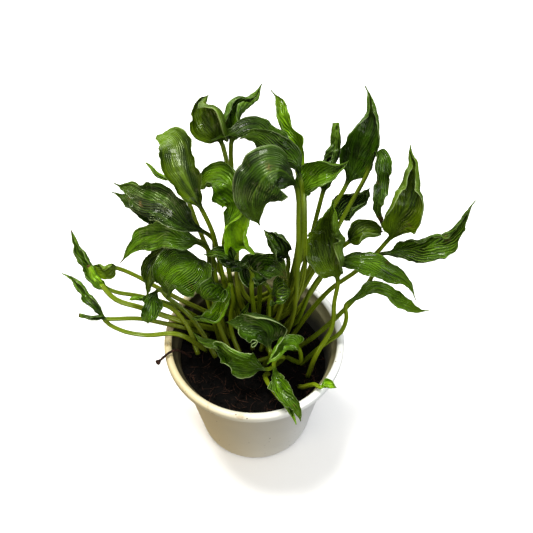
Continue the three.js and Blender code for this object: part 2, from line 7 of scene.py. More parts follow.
# %% Load the frame
import json
import math
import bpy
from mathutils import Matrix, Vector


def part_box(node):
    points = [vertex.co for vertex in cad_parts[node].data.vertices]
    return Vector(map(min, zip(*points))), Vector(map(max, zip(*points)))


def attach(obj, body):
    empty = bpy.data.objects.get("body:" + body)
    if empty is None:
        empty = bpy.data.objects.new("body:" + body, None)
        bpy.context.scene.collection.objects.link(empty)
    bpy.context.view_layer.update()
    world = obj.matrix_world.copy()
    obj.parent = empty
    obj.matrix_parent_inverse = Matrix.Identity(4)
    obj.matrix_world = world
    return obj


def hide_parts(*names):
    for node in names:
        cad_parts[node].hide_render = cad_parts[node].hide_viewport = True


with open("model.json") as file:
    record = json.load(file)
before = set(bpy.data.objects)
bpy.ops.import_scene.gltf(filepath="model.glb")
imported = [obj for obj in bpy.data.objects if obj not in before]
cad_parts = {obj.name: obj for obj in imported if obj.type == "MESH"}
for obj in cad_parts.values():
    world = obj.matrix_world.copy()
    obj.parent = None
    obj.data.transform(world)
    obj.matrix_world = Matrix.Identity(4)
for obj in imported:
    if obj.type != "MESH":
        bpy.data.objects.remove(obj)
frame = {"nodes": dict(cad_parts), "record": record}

from types import SimpleNamespace

import bmesh
import bpy
import numpy as np
from mathutils import Matrix, Vector, noise
from mathutils.bvhtree import BVHTree

noise.seed_set(5)  # without a seed, noise vectors change with the clock
nodes = frame["nodes"]
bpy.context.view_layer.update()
plain_leaves = sorted(name for name in nodes if name.startswith("leaf_"))
print("frame:", len(nodes), "nodes,", len(plain_leaves), "leaves")

# %% [markdown]
# ## Camera
# The camera comes first, because every later choice is compared with its view. The plant is seen
# from in front and well above, and the distance sets how much larger the tall leaves look. The
# colours are shown plainly, with a little extra contrast that keeps the shade deep.

# %% Camera
FOCAL_LENGTH = 68.33
EYE = (0.0108, -0.488, 0.888)
TILT = 36.91  # up from straight down, in degrees
lens = bpy.data.cameras.new("view")
lens.lens = FOCAL_LENGTH
lens.sensor_width = 36
camera = bpy.data.objects.new("view", lens)
camera.location = EYE
camera.rotation_euler = (math.radians(TILT), 0, 0)
bpy.context.collection.objects.link(camera)
bpy.context.scene.camera = camera
bpy.context.scene.view_settings.view_transform = "Standard"
bpy.context.scene.view_settings.look = "Medium High Contrast"
print("camera at", tuple(round(v, 3) for v in camera.location))

# %% [markdown]
# ## Building materials from nodes
# A material is a small network of nodes, and a few helpers keep the networks short to read: `put`
# adds any node and fills its inputs in order, `calc`, `times` and `plus` do arithmetic, `blend`
# mixes two colours, `soft_step` is a soft step from 0 to 1, and `grain` is cloudy noise.

# %% Node helpers
def join(tree, source, socket):
    """Links a node's output to a socket, or sets the socket to a plain value (None skips it)."""
    if isinstance(source, bpy.types.NodeSocket):
        tree.links.new(source, socket)
    elif source is not None:
        socket.default_value = source


def put(tree, kind, *sources, **options):
    """Adds a node, sets its options, and fills its inputs in order."""
    node = tree.nodes.new("ShaderNode" + kind)
    for option, value in options.items():
        setattr(node, option, value)
    for socket, source in zip(node.inputs, sources):
        join(tree, source, socket)
    return node


def calc(tree, operation, *sources, **options):
    return put(tree, "Math", *sources, operation=operation, **options).outputs[0]


def times(tree, first, *others):
    for other in others:
        first = calc(tree, "MULTIPLY", first, other)
    return first


def plus(tree, first, second):
    return calc(tree, "ADD", first, second)


def blend(tree, share, first, second):
    """Mixes two colours: a share of 0 gives the first, and 1 the second."""
    node = put(tree, "Mix", data_type="RGBA")
    for number, source in ((0, share), (6, first), (7, second)):
        join(tree, source, node.inputs[number])
    return node.outputs[2]


def soft_step(tree, value, low, high):
    """0 at low and 1 at high, eased in between; low may be the larger of the two."""
    return put(tree, "MapRange", value, low, high, 0.0, 1.0, interpolation_type="SMOOTHSTEP").outputs[0]


def grain(tree, scale, detail=3.0, roughness=0.55):
    """Cloudy noise from 0 to 1 on the piece's own coordinates, in metres."""
    where = put(tree, "TexCoord").outputs["Object"]
    return put(tree, "TexNoise", where, None, scale, detail, roughness).outputs[0]


print("node helpers ready")

# %% [markdown]
# Colours are chosen as they look on screen, but a shader works in linear light, so they are
# converted. One more helper makes a whole material: its colour, roughness and height may be small
# networks, and everything else is set on the shader's own sockets.

# %% Colours and surfaces
def rgb(red, green, blue):
    """A colour given as it looks on screen, from 0 to 255, turned into linear light."""
    def linear(value):
        value /= 255
        return value / 12.92 if value <= 0.04045 else ((value + 0.055) / 1.055) ** 2.4
    return (linear(red), linear(green), linear(blue), 1.0)


def surface(name, color, roughness, height=None, relief=0.0, **constants):
    """A Principled material; color, roughness and height may be functions of its node tree."""
    material = bpy.data.materials.new(name)
    material.use_nodes = True
    tree = material.node_tree
    shader = tree.nodes["Principled BSDF"]
    for label, source in (("Base Color", color), ("Roughness", roughness)):
        join(tree, source(tree) if callable(source) else source, shader.inputs[label])
    if height:
        bump = put(tree, "Bump", 1.0, relief)
        join(tree, height(tree), bump.inputs["Height"])
        join(tree, bump.outputs[0], shader.inputs["Normal"])
    for label, value in constants.items():
        shader.inputs[label.replace("_", " ")].default_value = value
    return material


print("white is", rgb(255, 255, 255)[:3])

# %% [markdown]
# ## Floor
# The plant stands on a plain pale floor. Light thrown up by a white floor would wash out the dark
# undersides of the leaves, so the floor is hidden from bounced and mirrored light and only seen.

# %% Floor
def finished(bm, name, material):
    """Turns a bmesh into a smooth object of its own with one material."""
    mesh = bpy.data.meshes.new(name)
    for face in bm.faces:
        face.smooth = True
    bm.to_mesh(mesh)
    bm.free()
    piece = bpy.data.objects.new(name, mesh)
    bpy.context.collection.objects.link(piece)
    mesh.materials.append(material)
    return piece


paper = surface(
    "pale_paper",
    lambda tree: blend(tree, grain(tree, 3.0), rgb(250, 250, 249), rgb(253, 253, 253)),
    0.9, Specular_IOR_Level=0.1,
)
bm = bmesh.new()
bmesh.ops.create_grid(bm, x_segments=8, y_segments=8, size=4.0)
floor = finished(bm, "floor", paper)
floor.visible_diffuse = False
floor.visible_glossy = False
print("floor", floor.dimensions[:2])

# %% [markdown]
# ## Soft studio light
# Three panels light the sides: a cool one on the right and a warm one low on the left turn the pot
# from cream to blue-white, and one lights its back. Two far lamps shine from above: a very wide
# one is the soft sky, and a narrower one draws the bright streaks along glossy leaves. Far lamps
# are as strong everywhere, so the floor stays evenly pale, which a lamp near the plant would not
# give. The world fills the shadows a little, and beyond the floor it is a plain pale backdrop.

# %% Panels
def lamp(kind, name, heading, power, color):
    """A lamp of a kind that shines along a heading; returns its object and its settings."""
    light = bpy.data.lights.new(name, kind)
    light.energy = power
    light.color = color
    holder = bpy.data.objects.new(name, light)
    holder.rotation_euler = Vector(heading).to_track_quat("-Z", "Y").to_euler()
    bpy.context.collection.objects.link(holder)
    return holder, light


HEART_OF_PLANT = Vector((0, 0.02, 0.2))
for name, place, width, height, power, color in (
    ("front_panel", (1.5, -1.25, 0.8), 1.2, 1.2, 24, (0.96, 0.98, 1.0)),
    ("warm_panel", (-1.3, -0.8, 0.4), 0.8, 0.6, 7, (1.0, 0.86, 0.62)),
    ("back_panel", (-0.9, 1.7, 0.8), 1.2, 1.2, 13, (1.0, 0.99, 0.97)),
):
    holder, light = lamp("AREA", name, HEART_OF_PLANT - Vector(place), power, color)
    holder.location = place
    light.shape = "RECTANGLE"
    light.size, light.size_y = width, height
    print(name, "at", place)

# %% Far lamps and world
for name, heading, degrees, power, color in (
    ("overcast", (0.10, -0.05, -1.0), 110, 1.25, (1.0, 1.0, 1.0)),
    ("key", (0.20, -0.17, -1.0), 18, 2.5, (1.0, 0.99, 0.95)),
):
    holder, light = lamp("SUN", name, heading, power, color)
    light.angle = math.radians(degrees)
    print(name, "looks", degrees, "degrees wide")

FILL, BACKDROP = 0.15, 0.97
world = bpy.data.worlds.new("pale_room")
world.use_nodes = True
room = world.node_tree
seen = put(room, "LightPath").outputs["Is Camera Ray"]
strength = put(room, "MapRange", seen, 0.0, 1.0, FILL, BACKDROP).outputs[0]
join(room, strength, room.nodes["Background"].inputs["Strength"])
room.nodes["Background"].inputs["Color"].default_value = (1.0, 1.0, 1.0, 1.0)
bpy.context.scene.world = world
print("world:", len(room.nodes), "nodes")

# %% [markdown]
# ## Pot
# The real pot is one moulding of cream plastic: a tapering body, a small step, and a thick
# rolled rim. Anything with one axis is quickest to spin: half of its outline is drawn as a
# chain of edges and turned once round the axis.

# %% Pot body
pot_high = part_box("pot")[1]
RIM_RADIUS = pot_high.x
POT_HEIGHT = pot_high.z
RIM_HEIGHT = 0.009
STEP_HEIGHT = 0.003
STEP_RADIUS = 0.074
BODY_TOP_RADIUS = 0.0715
BASE_RADIUS = 0.052
MOUTH_RADIUS = 0.0735
WALL = 0.0026
POT_FLOOR = 0.004
HOLLOW = 0.0012  # the underside is hollow by this much inside its foot ring
FOOT_RADIUS = 0.041
step_top = POT_HEIGHT - RIM_HEIGHT
body_top = step_top - STEP_HEIGHT

half_outline = [
    (0, HOLLOW), (FOOT_RADIUS - 0.001, HOLLOW), (FOOT_RADIUS, 0), (BASE_RADIUS, 0),
    (BODY_TOP_RADIUS - 0.0021, body_top - 0.0100), (BODY_TOP_RADIUS - 0.0013, body_top - 0.0094),
    (BODY_TOP_RADIUS, body_top), (STEP_RADIUS, body_top), (STEP_RADIUS, step_top),
    (RIM_RADIUS, step_top), (RIM_RADIUS, POT_HEIGHT), (MOUTH_RADIUS, POT_HEIGHT),
    (MOUTH_RADIUS - 0.0008, step_top), (BODY_TOP_RADIUS - WALL, body_top),
    (BASE_RADIUS - WALL, POT_FLOOR), (0, POT_FLOOR),
]
bm = bmesh.new()
chain = [bm.verts.new((radius, 0, height)) for radius, height in half_outline]
edges = [bm.edges.new(pair) for pair in zip(chain, chain[1:])]
bmesh.ops.spin(bm, geom=chain + edges, axis=(0, 0, 1), cent=(0, 0, 0), steps=120,
               angle=math.tau, use_merge=True)
bmesh.ops.remove_doubles(bm, verts=bm.verts, dist=1e-6)
bmesh.ops.recalc_face_normals(bm, faces=bm.faces)
print("pot spun:", len(bm.faces), "faces")

# %% [markdown]
# Moulded plastic has no sharp corners, so each hoop of edges where the outline turns is bevelled.
# Nor is a thin pot quite round: its wall is pushed in by a few tenths of a millimetre of noise.

# %% Pot corners
def hoops(bm, radius, height):
    """The edges that run round the axis at a radius and height."""
    def on_it(vert):
        off = math.hypot(vert.co.x, vert.co.y) - radius
        return abs(off) < 1e-5 and abs(vert.co.z - height) < 1e-5
    return [edge for edge in bm.edges if on_it(edge.verts[0]) and on_it(edge.verts[1])]


rounds = [
    (RIM_RADIUS, POT_HEIGHT, 0.0030), (MOUTH_RADIUS, POT_HEIGHT, 0.0026),
    (RIM_RADIUS, step_top, 0.0026), (BASE_RADIUS, 0, 0.0045), (STEP_RADIUS, body_top, 0.0012),
    (STEP_RADIUS, step_top, 0.0008), (BODY_TOP_RADIUS, body_top, 0.0008),
    (BODY_TOP_RADIUS - WALL, body_top, 0.0010), (BASE_RADIUS - WALL, POT_FLOOR, 0.003),
]
for radius, height, size in rounds:
    bmesh.ops.bevel(bm, geom=hoops(bm, radius, height), offset=size, offset_type="OFFSET",
                    affect="EDGES", segments=5, profile=0.5, material=-1)
for vert in bm.verts:
    out = Vector((vert.co.x, vert.co.y, 0))
    if out.length > 0.03 and 0.01 < vert.co.z < body_top:
        vert.co -= out.normalized() * abs(noise.noise(vert.co * 16.0)) * 0.00045
print("pot rounded:", len(bm.faces), "faces")

# %% [markdown]
# The plastic is old: cream, with yellow-brown stains on the left of the rim and dark splashes. Painted warm
# light yellows the rim and the body at the left, painted cool light whitens the body at the right, painted
# shade darkens the inner wall at the left, and the inside is dirty and grows darker towards the compost.
# Each is a mask made from the place on the pot and some noise, and each mask lays one colour over the last.

# %% Masks on the pot
def place_on_piece(tree):
    return put(tree, "SeparateXYZ", put(tree, "TexCoord").outputs["Object"]).outputs


def specks(tree, scale, size):
    """Small scattered dots, from 0 to 1."""
    dots = put(tree, "TexVoronoi", put(tree, "TexCoord").outputs["Object"], feature="F1")
    dots.inputs["Scale"].default_value = scale
    few = soft_step(tree, put(tree, "SeparateColor", dots.outputs["Color"]).outputs[0], 0.72, 0.78)
    return times(tree, soft_step(tree, dots.outputs["Distance"], size, size * 0.5), few)


def inside_wall(tree, x, y, z):
    """1 on the inner side of the wall and 0 outside, from how far in a point lies."""
    radius = calc(tree, "SQRT", plus(tree, times(tree, x, x), times(tree, y, y)))
    slope = (BODY_TOP_RADIUS - BASE_RADIUS) / body_top
    taper = times(tree, calc(tree, "MINIMUM", z, body_top), slope)
    at_step = times(tree, soft_step(tree, z, body_top - 0.0005, body_top), 0.0030)
    at_rim = times(tree, soft_step(tree, z, step_top - 0.0003, step_top + 0.0003), 0.0036)
    middle = plus(tree, plus(tree, BASE_RADIUS - WALL / 2, taper), plus(tree, at_step, at_rim))
    depth_in = calc(tree, "SUBTRACT", middle, radius)
    below_lip = soft_step(tree, z, POT_HEIGHT - 0.0008, POT_HEIGHT - 0.0035)
    return times(tree, soft_step(tree, depth_in, -0.0006, 0.0006), below_lip)


print("pot masks ready")

# %% Colours of the pot
# The warmer colours of the rim and body at the left are painted warm light, and the whiter body at the
# right is painted cool light.
RIM_CREAM, RIM_WARM_LIT, RIM_CLOUDED = rgb(236, 237, 233), rgb(200, 189, 152), rgb(212, 196, 152)
BODY_FRONT, BODY_WARM_LIT, BODY_COOL_LIT = rgb(234, 228, 212), rgb(254, 236, 188), rgb(248, 248, 246)
RIM_STAIN, SPLASH = rgb(158, 122, 58), rgb(96, 70, 38)
INNER_LIGHT, INNER_DULL = rgb(138, 132, 94), rgb(104, 97, 60)
INNER_SHADED, DARK_NEAR_COMPOST = rgb(34, 29, 17), rgb(30, 26, 14)


def outer_plastic(tree, x, z, cloud, leftness):
    """A cream rim that is yellower at the left from painted warm light, and a slightly different body below
    the step, with painted warm light at the left and painted cool light at the right.
    """
    rim = blend(tree, leftness, RIM_CREAM, RIM_WARM_LIT)
    rim = blend(tree, times(tree, soft_step(tree, cloud, 0.42, 0.75), 0.35), rim, RIM_CLOUDED)
    body = blend(tree, soft_step(tree, x, 0.02, -0.06), BODY_FRONT, BODY_WARM_LIT)
    body = blend(tree, soft_step(tree, x, 0.015, 0.06), body, BODY_COOL_LIT)
    below_step = soft_step(tree, z, body_top + 0.0015, body_top - 0.0015)
    return blend(tree, times(tree, below_step, 0.9), rim, body)


def inner_plastic(tree, x, z, cloud):
    """Dirty all over, darker at the left from painted shade, and darkest just above the compost."""
    dirt_and_shade = blend(tree, soft_step(tree, cloud, 0.35, 0.65), INNER_LIGHT, INNER_DULL)
    # painted shade: the inner wall is much darker at the left
    dirt_and_shade = blend(tree, soft_step(tree, x, -0.02, -0.055), dirt_and_shade, INNER_SHADED)
    uneven_height = plus(tree, z, times(tree, grain(tree, 90.0, 4.0), 0.02))
    # the inner wall grows darker from the lip down towards the compost
    low = soft_step(tree, uneven_height, POT_HEIGHT, POT_HEIGHT - 0.024)
    return blend(tree, low, dirt_and_shade, DARK_NEAR_COMPOST)


def plastic_color(tree):
    x, y, z = place_on_piece(tree)
    cloud = grain(tree, 22.0, 4.0)
    leftness = soft_step(tree, x, 0.06, -0.075)
    outer = outer_plastic(tree, x, z, cloud, leftness)
    patch = times(tree, soft_step(tree, grain(tree, 60.0, 5.0, 0.7), 0.5, 0.68), leftness)
    on_rim = soft_step(tree, z, body_top, body_top + 0.004)
    stained = blend(tree, times(tree, patch, on_rim, 0.9), outer, RIM_STAIN)
    inside = times(tree, inside_wall(tree, x, y, z), 0.92)
    washed = blend(tree, inside, stained, inner_plastic(tree, x, z, cloud))
    dots = times(tree, specks(tree, 210.0, 0.19), soft_step(tree, grain(tree, 30.0), 0.47, 0.6))
    return blend(tree, times(tree, dots, 0.8), washed, SPLASH)


print("pot colours ready")

# %% Finished pot
def plastic_roughness(tree):
    return plus(tree, 0.30, times(tree, grain(tree, 45.0, 4.0), 0.25))


def plastic_height(tree):
    fine = times(tree, grain(tree, 900.0, 2.0), 0.12)
    return plus(tree, fine, times(tree, grain(tree, 60.0, 3.0), 0.6))


cream_plastic = surface("cream_plastic", plastic_color, plastic_roughness, plastic_height, 0.0004,
                        Specular_IOR_Level=0.45)
pot = finished(bm, "pot_moulding", cream_plastic)
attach(pot, "root")
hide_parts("pot")
print("pot:", len(pot.data.polygons), "faces")

# %% [markdown]
# ## Compost
# Damp peat compost is almost black, with crumbs and reddish bark fibres lying on it. The plain
# solid already fills the pot, so a copy of it is welded, its top is cut finer and roughened with
# noise, and then crumbs and fibres are scattered on that top as many small meshes in one object.

# %% Compost surface
def welded(node_name):
    """A clean copy of a plain solid: its loose triangles share their corners again."""
    bm = bmesh.new()
    bm.from_mesh(nodes[node_name].data)
    bmesh.ops.remove_doubles(bm, verts=bm.verts, dist=1e-6)
    return bm


bm = welded("soil")
ground = BVHTree.FromBMesh(bm)


def ground_height(x, y):
    """Height of the compost at a place, or None off its edge."""
    hit = ground.ray_cast(Vector((x, y, 0.2)), Vector((0, 0, -1)))[0]
    return hit.z if hit else None


bm.normal_update()
top = [face for face in bm.faces if face.normal.z > 0.6]
top_edges = list({edge for face in top for edge in face.edges})
bmesh.ops.subdivide_edges(bm, edges=top_edges, cuts=4, use_grid_fill=True)
bm.normal_update()
for vert in bm.verts:
    if vert.normal.z > 0.5 and not any(face.normal.z < 0.5 for face in vert.link_faces):
        vert.co.z += noise.fractal(vert.co * 130.0, 0.9, 2.1, 5) * 0.0010 - 0.0004
print("compost:", len(bm.faces), "faces")

# %% Compost material
WET_PEAT, DRY_PEAT, BARK_DUST = rgb(7, 6, 5), rgb(30, 21, 16), rgb(56, 40, 30)


def compost_color(tree):
    peat = blend(tree, soft_step(tree, grain(tree, 260.0, 6.0, 0.7), 0.45, 0.75), WET_PEAT, DRY_PEAT)
    return blend(tree, soft_step(tree, grain(tree, 700.0, 3.0), 0.62, 0.8), peat, BARK_DUST)


def compost_height(tree):
    return plus(tree, grain(tree, 320.0, 6.0, 0.75), times(tree, grain(tree, 1400.0, 3.0), 0.4))


compost = surface("damp_compost", compost_color, 0.85, compost_height, 0.0016, Specular_IOR_Level=0.2)
soil = finished(bm, "compost_bed", compost)
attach(soil, "root")
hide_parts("soil")
print("compost bed:", len(soil.data.polygons), "faces")

# %% Crumbs
chance = np.random.RandomState(7)
CRUMBS, CRUMB_REACH = 520, 0.0655


def scattered(count, reach):
    """Places on the compost: (x, y, height) inside a radius."""
    found = []
    while len(found) < count:
        x, y = chance.uniform(-reach, reach, 2)
        height = ground_height(x, y)
        if math.hypot(x, y) < reach and height is not None:
            found.append(Vector((x, y, height)))
    return found


bm = bmesh.new()
for spot in scattered(CRUMBS, CRUMB_REACH):
    size = 0.0005 + 0.0011 * chance.rand() ** 2
    turn = Matrix.Rotation(chance.uniform(0, math.tau), 4, Vector(chance.normal(size=3)).normalized())
    flat = Matrix.Diagonal((size * chance.uniform(0.8, 1.7), size, size * chance.uniform(0.5, 0.9), 1))
    lifted = Matrix.Translation(spot + Vector((0, 0, size * 0.25)))
    bmesh.ops.create_icosphere(bm, subdivisions=2, radius=1.0, matrix=lifted @ turn @ flat)
for vert in bm.verts:
    vert.co += noise.noise_vector(vert.co * 900.0) * 0.00022
crumbs = finished(bm, "compost_crumbs", compost)
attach(crumbs, "root")
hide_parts("soil")
print("crumbs:", len(crumbs.data.polygons), "faces")

# %% [markdown]
# ## A sleeve round any line
# The fibres and every leaf are long closed forms. One helper makes them all: it takes a flat
# grid, lays its rows round a list of sections, welds the seam where the last column meets the
# first, and fills both open ends. A section may be a ring of points or the thin outline of a leaf
# blade, so the same sleeve can start as a round stalk and end as a leaf.

# %% Sleeve
def sleeve(bm, sections, labels=None):
    """Wraps a grid round sections (rows, around, 3); labels are per-point values to keep."""
    rows, around = sections.shape[:2]
    made = bmesh.ops.create_grid(bm, x_segments=around, y_segments=rows - 1, size=1.0)["verts"]
    for vert in made:
        column = round((vert.co.x + 1) / 2 * around) % around
        row = round((vert.co.y + 1) / 2 * (rows - 1))
        vert.co = sections[row, column]
        for layer, values in (labels or {}).items():
            vert[layer] = values[row, column]
    bmesh.ops.remove_doubles(bm, verts=made, dist=1e-8)
    kept = [vert for vert in made if vert.is_valid]
    rim = list({edge for vert in kept for edge in vert.link_edges if edge.is_boundary})
    bmesh.ops.holes_fill(bm, edges=rim, sides=around + 1)


def ring_sections(line, radii, sides, squash):
    """Round sections along a line of points, each facing along the line."""
    line = np.asarray(line, float)
    ahead = np.gradient(line, axis=0)
    ahead /= np.linalg.norm(ahead, axis=1)[:, None]
    up = np.array([0.0, 0.0, 1.0]) if abs(ahead[0][2]) < 0.8 else np.array([0.0, 1.0, 0.0])
    side = np.cross(ahead, up)
    side /= np.linalg.norm(side, axis=1)[:, None]
    lift = np.cross(side, ahead)[:, None]
    turn = (np.arange(sides) * math.tau / sides)[None, :, None]
    ring = np.cos(turn) * side[:, None] + squash * np.sin(turn) * lift
    return line[:, None] + ring * np.asarray(radii)[:, None, None]


print("sleeve ready")

# %% [markdown]
# Each fibre is a sleeve of five sides along a short bent line on the compost, thicker in the middle.

# %% Bark fibres
FIBRES, FIBRE_REACH = 360, 0.064
SWELL = np.array([0.5, 0.9, 1.0, 1.0, 0.8, 0.35])


def fibre_color(tree):
    return blend(tree, soft_step(tree, grain(tree, 500.0), 0.35, 0.7), rgb(36, 23, 17), rgb(92, 64, 50))


fibre_bark = surface("fibre_bark", fibre_color, 0.8, lambda tree: grain(tree, 1500.0), 0.0003,
                     Specular_IOR_Level=0.25)
bm = bmesh.new()
for spot in scattered(FIBRES, FIBRE_REACH):
    heading = chance.uniform(0, math.tau)
    length = chance.uniform(0.004, 0.013)
    curve = chance.uniform(-0.7, 0.7)
    rise = chance.uniform(0.0002, 0.0022)
    line = []
    for share in np.linspace(-0.5, 0.5, len(SWELL)):
        angle = heading + curve * share
        x = spot.x + length * share * math.cos(angle)
        y = spot.y + length * share * math.sin(angle)
        height = ground_height(x, y) or spot.z
        line.append((x, y, height + 0.0005 + rise * (0.5 + share)))
    sleeve(bm, ring_sections(line, chance.uniform(0.00012, 0.00032) * SWELL, 5, 0.6))
bmesh.ops.recalc_face_normals(bm, faces=bm.faces)
fibres = finished(bm, "bark_fibres", fibre_bark)
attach(fibres, "root")
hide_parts("soil")
print("fibres:", len(fibres.data.polygons), "faces")

# %% [markdown]
# ## Bark twig
# A dark scrap of twig with a knob at its end leans out over the left of the rim. Its plain solid
# is close to it already, so a welded copy is cut finer, rounded by the same cut, and nudged with
# noise into ridges of bark.

# %% Twig
bm = welded("bark_twig")
bmesh.ops.subdivide_edges(bm, edges=bm.edges, cuts=3, use_grid_fill=True, smooth=0.6)
for vert in bm.verts:
    vert.co += noise.noise_vector(vert.co * 420.0) * 0.0004


def bark_color(tree):
    return blend(tree, soft_step(tree, grain(tree, 340.0, 5.0), 0.4, 0.7), rgb(34, 18, 12), rgb(78, 48, 34))


bark_brown = surface("bark_brown", bark_color, 0.75, lambda tree: grain(tree, 700.0, 5.0, 0.7), 0.0007,
                     Specular_IOR_Level=0.3)
twig = finished(bm, "bark_scrap", bark_brown)
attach(twig, "root")
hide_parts("bark_twig")
print("twig:", len(twig.data.polygons), "faces")

# %% [markdown]
# ## Leaves
# Every leaf grew as one piece: a grooved stalk that opens into a blade with a midrib, side veins
# that sweep forward to the margin, and a wilted, ruffled edge. The plain solid gives the route,
# the width and the curl, so the rings of points that it was lofted from are read back in order:
# its foot is capped by a fan about one point, and each ring lies one edge further from that point.

# %% Rings of a plain leaf
RING = 8


def first_ring(points):
    """The points of the first ring in order: the groove is the third, left to right before it."""
    centre = sum((vert.co for vert in points[0]), Vector()) / RING
    ahead = sum((vert.co for vert in points[1]), Vector()) / RING - centre
    groove = min(points[0], key=lambda vert: (vert.co - centre).length)
    right = ahead.cross(groove.co - centre)
    beside = [edge.other_vert(groove) for edge in groove.link_edges if edge.other_vert(groove) in points[0]]
    ring = [min(beside, key=lambda vert: (vert.co - groove.co).dot(right)), groove]
    while len(ring) < RING:
        links = {edge.other_vert(ring[-1]) for edge in ring[-1].link_edges} & points[0]
        ring.append((links - set(ring)).pop())
    return [ring[-1]] + ring[:-1]


def rings_of(node_name):
    """The rings that a plain leaf was lofted from, foot to tip, as (rings, points, 3)."""
    bm = welded(node_name)
    cap = max(bm.verts, key=lambda vert: (len(vert.link_edges), -vert.co.z))
    seen, layer, layers = {cap}, {cap}, []
    while True:
        layer = {edge.other_vert(vert) for vert in layer for edge in vert.link_edges} - seen
        if len(layer) < RING:
            break
        seen |= layer
        layers.append(layer)
    ordered = [first_ring(layers)]
    for layer in layers[1:]:
        near = [{edge.other_vert(vert) for edge in vert.link_edges} & layer for vert in ordered[-1]]
        ordered.append([(near[i] & near[i - 1]).pop() for i in range(RING)])
    points = np.array([[tuple(vert.co) for vert in ring] for ring in ordered])
    bm.free()
    return points


print("rings of", plain_leaves[0], rings_of(plain_leaves[0]).shape)

# %% [markdown]
# A few rings are too coarse for a supple leaf, so a smooth line is passed through them and read at
# many more places.

# %% Smooth lines through the rings
def through(knots, places, where):
    """A smooth line through knots (n, k) at rising places, read at the values in where."""
    step = np.diff(places)
    slope = np.diff(knots, axis=0) / step[:, None]
    lead = np.empty_like(knots)
    lead[0], lead[-1] = slope[0], slope[-1]
    both = (step[:-1] + step[1:])[:, None]
    lead[1:-1] = (slope[:-1] * step[1:, None] + slope[1:] * step[:-1, None]) / both
    i = np.clip(np.searchsorted(places, where, side="right") - 1, 0, len(step) - 1)
    h = step[i][:, None]
    t = (where - places[i])[:, None] / h
    start = (1 + 2 * t) * (1 - t) ** 2 * knots[i] + t * (1 - t) ** 2 * h * lead[i]
    end = t * t * (3 - 2 * t) * knots[i + 1] + t * t * (t - 1) * h * lead[i + 1]
    return start + end


def unit(vectors):
    return vectors / np.maximum(np.linalg.norm(vectors, axis=-1, keepdims=True), 1e-9)


def ease(value, low, high):
    share = np.clip((value - low) / (high - low), 0, 1)
    return share * share * (3 - 2 * share)


def waves(luck, where, lengths):
    """A sum of a few sine waves of given lengths with chance phases, about -1 to 1."""
    parts = [np.sin(math.tau * (where / length + luck.rand())) for length in lengths]
    shares = [1 / (1 + i) for i in range(len(lengths))]
    return sum(part * share for part, share in zip(parts, shares)) / sum(shares)


print("line helpers ready")

# %% [markdown]
# ## Traits
# The real blades differ: some are rolled and deeply ribbed, some are smooth and bright, some
# have brown tips. Each leaf has a short line of traits, and keeps the everyday value of the rest:
#
# - `wide`: how many times wider than the plain solid the left and the right half are
# - `left`, `right`: how far each half rolls up, in degrees, at even steps from the blade's foot
#   to its tip, and `sharp`: how much of that roll is kept for the margin
# - `twist`: how far the blade turns about its midrib, in the same steps, and `point`: how
#   slender its tip is
# - `sway`, `ruffle`, `buckle`, `pleat`: how far the midrib wanders, how wavy the margin is, how
#   creased the face is, and how deep the soft folds beside the veins are
# - `ribs`, `lit`, `glow`, `pale`: how strong the veins are, how light the green is, how yellow-green the
#   tip is with painted light glowing through it, and how dry and pale the margin is with its painted
#   highlight
# - `brown`, `brown_from`: how brown the tip is, and where along the blade that starts

# %% Everyday traits
everyday = dict(
    ruffle=1.0, ribs=0.45, buckle=1.0, brown=0.0, brown_from=0.9, pale=0.35, lit=0.5, glow=0.4,
    wide=(1.25, 1.25), left=(20, 90, 120), right=(20, 120, 70), sharp=1.8, twist=(0, 30, -30),
    point=0.5, sway=1.0, pleat=1.0,
)
traits = {}
print("everyday traits:", len(everyday))

# %% Traits of the left-hand leaves
traits.update({
    "left_low": dict(pale=0.5, wide=(1.2, 1.1), left=(20, 120, 160)),
    "left_cut_stalk": dict(brown=0.9, brown_from=0.93, ruffle=0.4, lit=0.3, point=0.0),
    "left_rolled": dict(brown=1.0, brown_from=0.90, lit=0.9, ruffle=0.4, point=0.0),
    "left_long": dict(brown=1.0, brown_from=0.93, pale=0.5, ruffle=1.2, left=(40, 150, 60),
        right=(20, 60, 150), lit=0.7),
    "left_small": dict(lit=0.8, wide=(1.7, 1.7)),
    "left_brown_tip": dict(brown=0.75, brown_from=0.88, ruffle=1.2, left=(20, -60, 60),
        right=(20, 60, 100), point=1.0),
    "left_broad": dict(pale=0.6, ribs=0.4, lit=0.2, left=(0, -60, -80), right=(10, 35, 50), point=1.3,
        wide=(1.1, 1.1), twist=(0, 0, 0)),
    "left_under": dict(lit=0.3, point=1.2, left=(10, 40, 60), right=(10, 20, 40), twist=(0, 0, 0)),
    "left_light_tip": dict(lit=1.0, pale=0.8, glow=1.0),
    "left_olive_hood": dict(ribs=0.2, lit=0.25, ruffle=0.7, left=(20, 50, -40), right=(20, 60, -70),
        wide=(1.0, 1.0), point=0.0, glow=1.0, twist=(0, 0, 0), pleat=0.5, sway=0.5),
    "rolled_ribbed": dict(ribs=1.6, lit=0.7, pale=0.7, left=(90, 260, 340), right=(60, 160, 220),
        wide=(1.0, 1.0), twist=(0, 0, 0), point=0.0),
    "hanging_olive": dict(ribs=0.8, buckle=1.6),
    "hanging_fan": dict(ribs=1.0, buckle=1.6),
})
print("leaves with traits:", len(traits))

